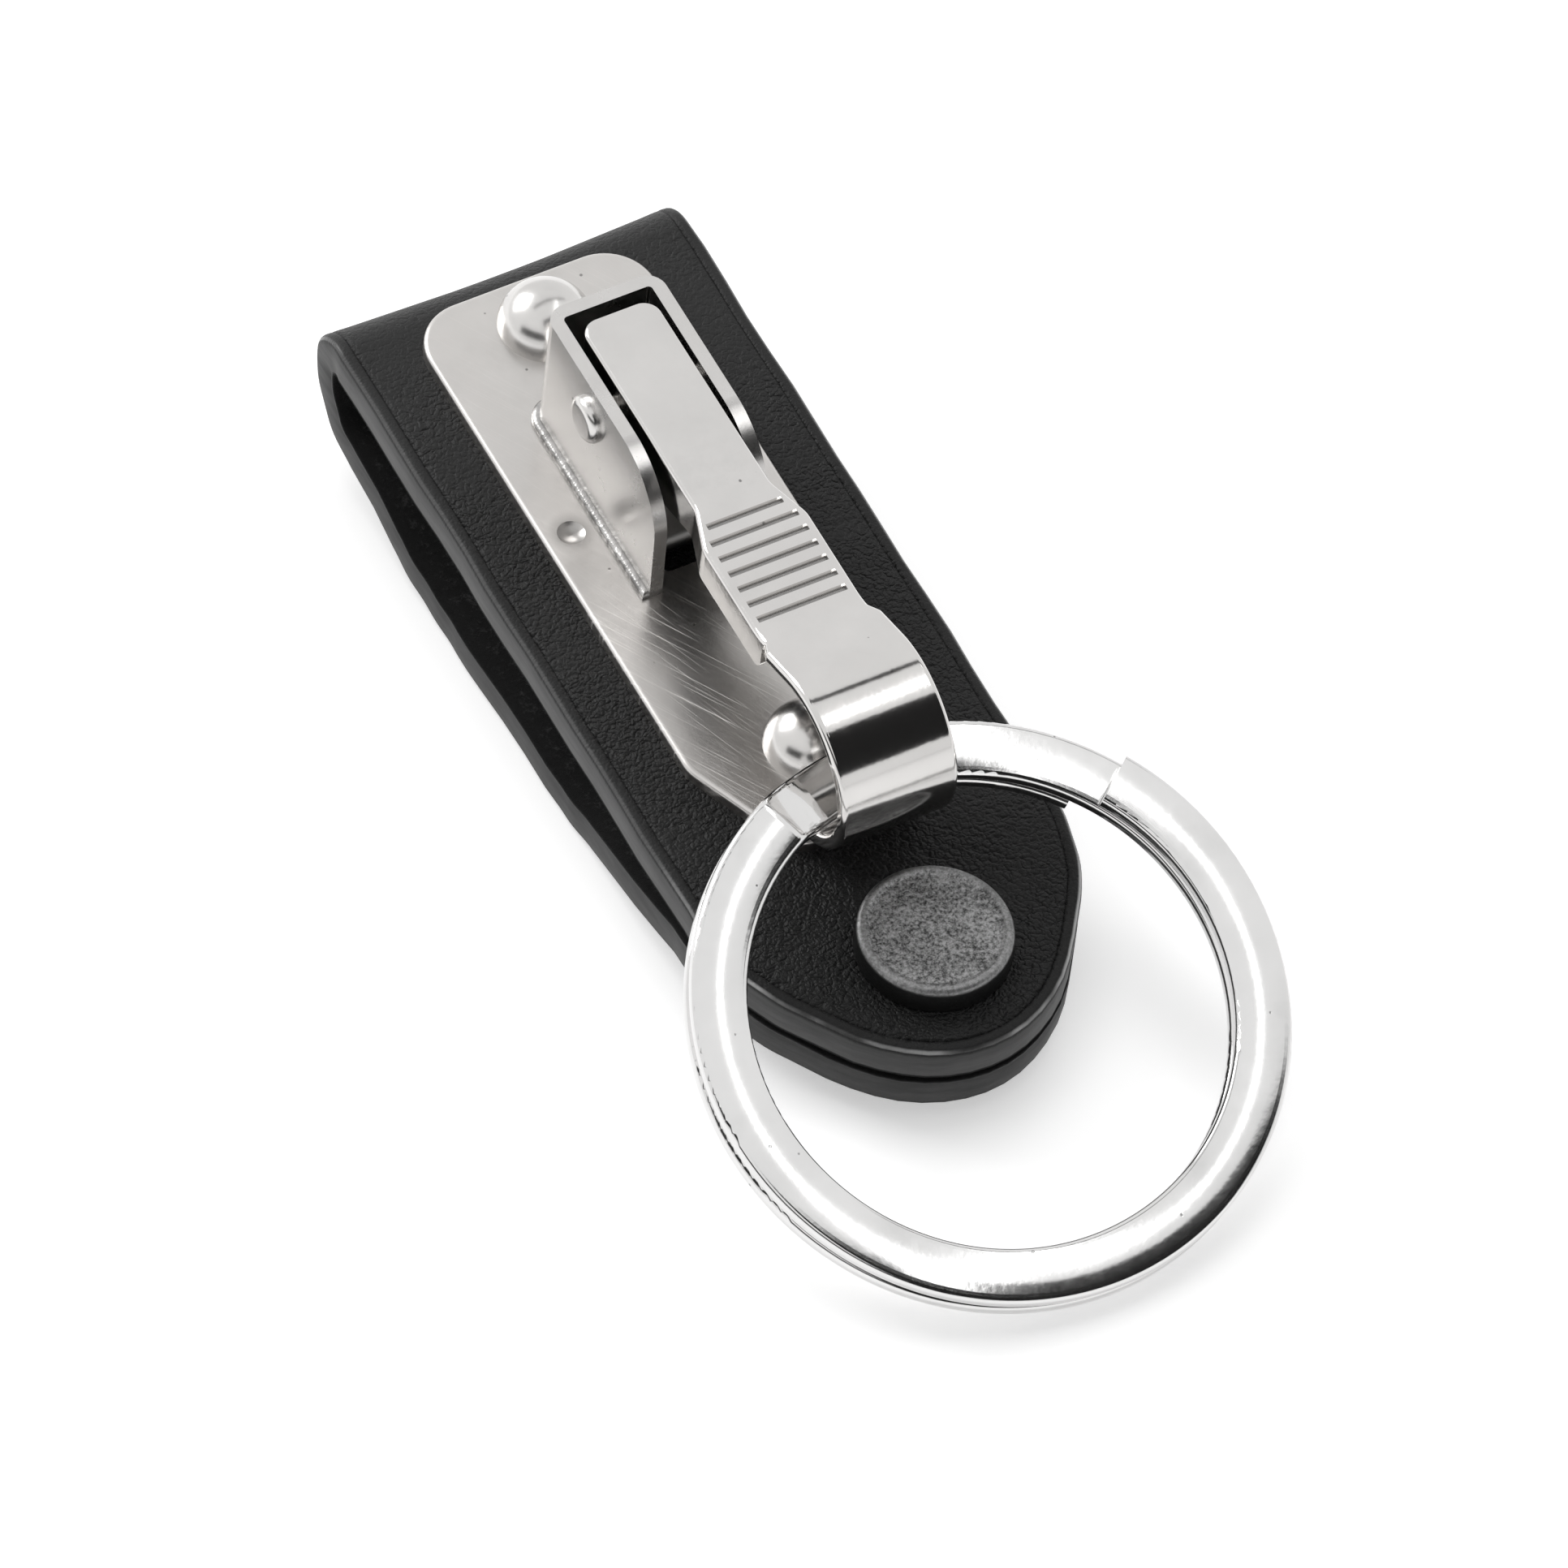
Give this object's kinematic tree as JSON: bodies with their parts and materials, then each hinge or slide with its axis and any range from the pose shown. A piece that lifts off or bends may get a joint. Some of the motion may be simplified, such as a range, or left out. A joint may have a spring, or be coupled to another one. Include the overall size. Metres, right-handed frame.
{
  "type": "belt key clip",
  "caption": "Folded leather belt loop closed by a snap, with a riveted steel plate and a sprung lever hook that carries a split key ring",
  "frame": {"origin": "Middle of the flat stretch of the back flap, on its outer face, where the clip lies on a table or against the body.", "axes": "+Z out of the back face towards the hook side; +Y along the strap from the ring to the fold; X across the strap."},
  "size_m": [0.038, 0.0835, 0.0227],
  "materials": {
    "leather_black": "pebble grain with creased borders and burnished edges",
    "plate_steel": "satin with fine rubbed scratches",
    "polished_steel": "polished",
    "nickel_steel": "bright nickel",
    "spring_steel": "plain spring steel",
    "gunmetal": "dark antique plating"
  },
  "bodies": {
    "back": {"strap_back": "leather_black", "snap_stud": "gunmetal", "snap_post": "gunmetal"},
    "front": {"strap_front": "leather_black", "base_plate": "plate_steel", "pivot_frame": "plate_steel", "upper_rivet": "polished_steel", "lower_rivet": "polished_steel", "upper_rivet_cap": "polished_steel", "lower_rivet_cap": "polished_steel", "hinge_pin": "polished_steel", "leaf_spring": "spring_steel", "snap_cap": "gunmetal", "snap_socket": "gunmetal", "snap_spring": "spring_steel"},
    "lever": {"clip_lever": "polished_steel"},
    "ring": {"split_ring": "nickel_steel"}
  },
  "joints": [
    {"name": "loop_open", "type": "hinge", "parent": "back", "child": "front", "pos_m": [0, 0.02631, 0.0108], "axis": [-1, 0, 0], "range_deg": [0, 80], "deforming": ["snap_spring"]},
    {"name": "lever_lift", "type": "hinge", "parent": "front", "child": "lever", "pos_m": [0, 0.00714, 0.01892], "axis": [-1, 0, 0], "range_deg": [0, 14], "stiffness_Nm_per_rad": 0.25, "springref_deg": -8.59, "deforming": ["leaf_spring"]},
    {"name": "ring_swing", "type": "hinge", "parent": "lever", "child": "ring", "pos_m": [0, -0.02235, 0.01439], "axis": [-1, 0, 0], "range_deg": [-34, 175]}
  ]
}
